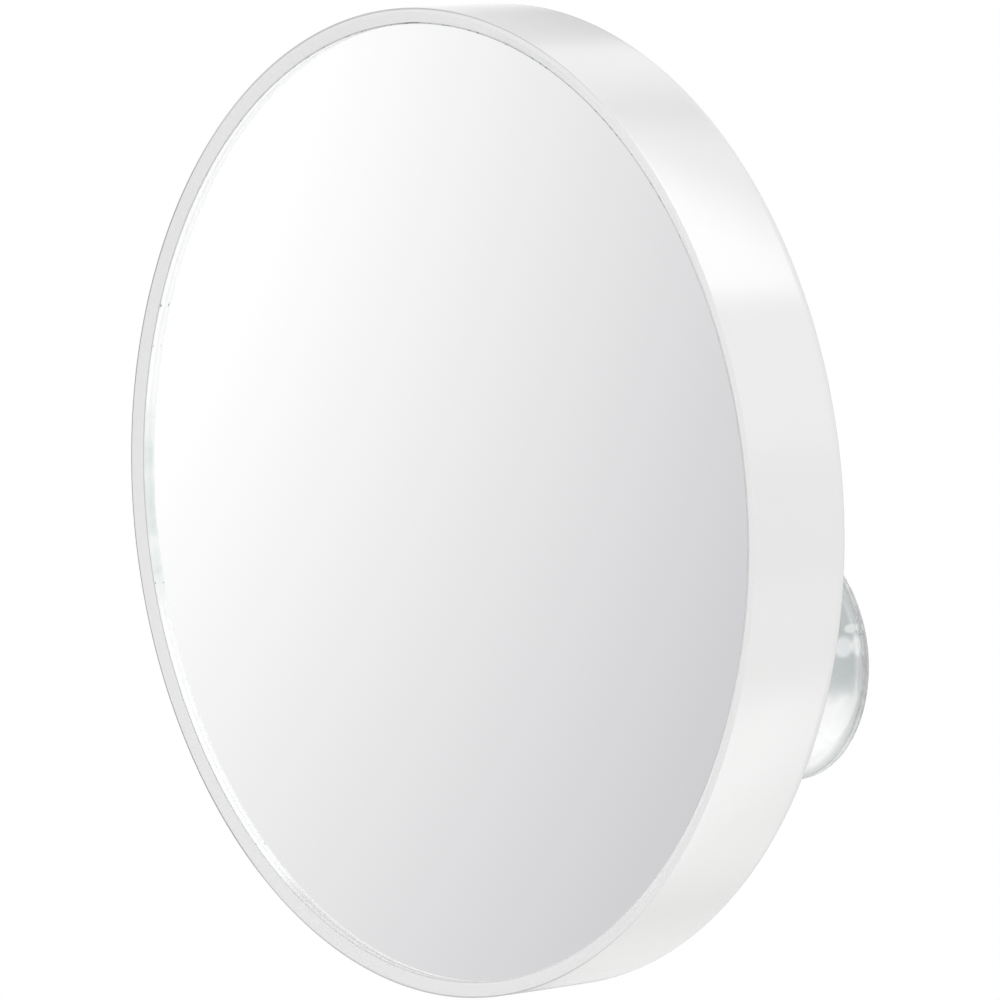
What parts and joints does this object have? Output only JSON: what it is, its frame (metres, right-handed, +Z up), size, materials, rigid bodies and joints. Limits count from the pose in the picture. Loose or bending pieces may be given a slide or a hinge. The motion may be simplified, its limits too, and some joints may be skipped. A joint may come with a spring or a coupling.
{
  "type": "suction cup magnifying mirror",
  "caption": "Round concave magnifying mirror in a shallow white housing, held on a wall by clear suction cups that slide in keyholes on its back.",
  "frame": {"origin": "on the mirror's axis, in the plane where the suction cups' lips touch the wall", "axes": "+Y along the mirror's axis from the glass into the wall, +Z up as it hangs, +X to the right of someone looking into the glass"},
  "size_m": [0.1, 0.022, 0.1],
  "materials": {
    "housing_abs": "glossy moulded white",
    "silvered_glass": "polished, silvered on the back",
    "cover_abs": "satin moulded white",
    "foam_tape": "closed-cell foam",
    "clear_pvc": "clear glossy soft PVC"
  },
  "bodies": {
    "mirror": {"housing": "housing_abs", "mirror_glass": "silvered_glass", "back_cover": "cover_abs", "foam_strip_1": "foam_tape", "foam_strip_2": "foam_tape", "foam_strip_3": "foam_tape", "foam_strip_4": "foam_tape", "foam_strip_5": "foam_tape", "foam_strip_6": "foam_tape"},
    "cup_top": {"suction_cup_top": "clear_pvc"},
    "cup_left": {"suction_cup_left": "clear_pvc"},
    "cup_right": {"suction_cup_right": "clear_pvc"}
  },
  "joints": [
    {"name": "cup_top_slide", "type": "slide", "parent": "mirror", "child": "cup_top", "axis": [0, 0, -1], "range_m": [0, 0.0075]},
    {"name": "cup_left_slide", "type": "slide", "parent": "mirror", "child": "cup_left", "axis": [0, 0, -1], "range_m": [0, 0.0075]},
    {"name": "cup_right_slide", "type": "slide", "parent": "mirror", "child": "cup_right", "axis": [0, 0, -1], "range_m": [0, 0.0075]}
  ]
}
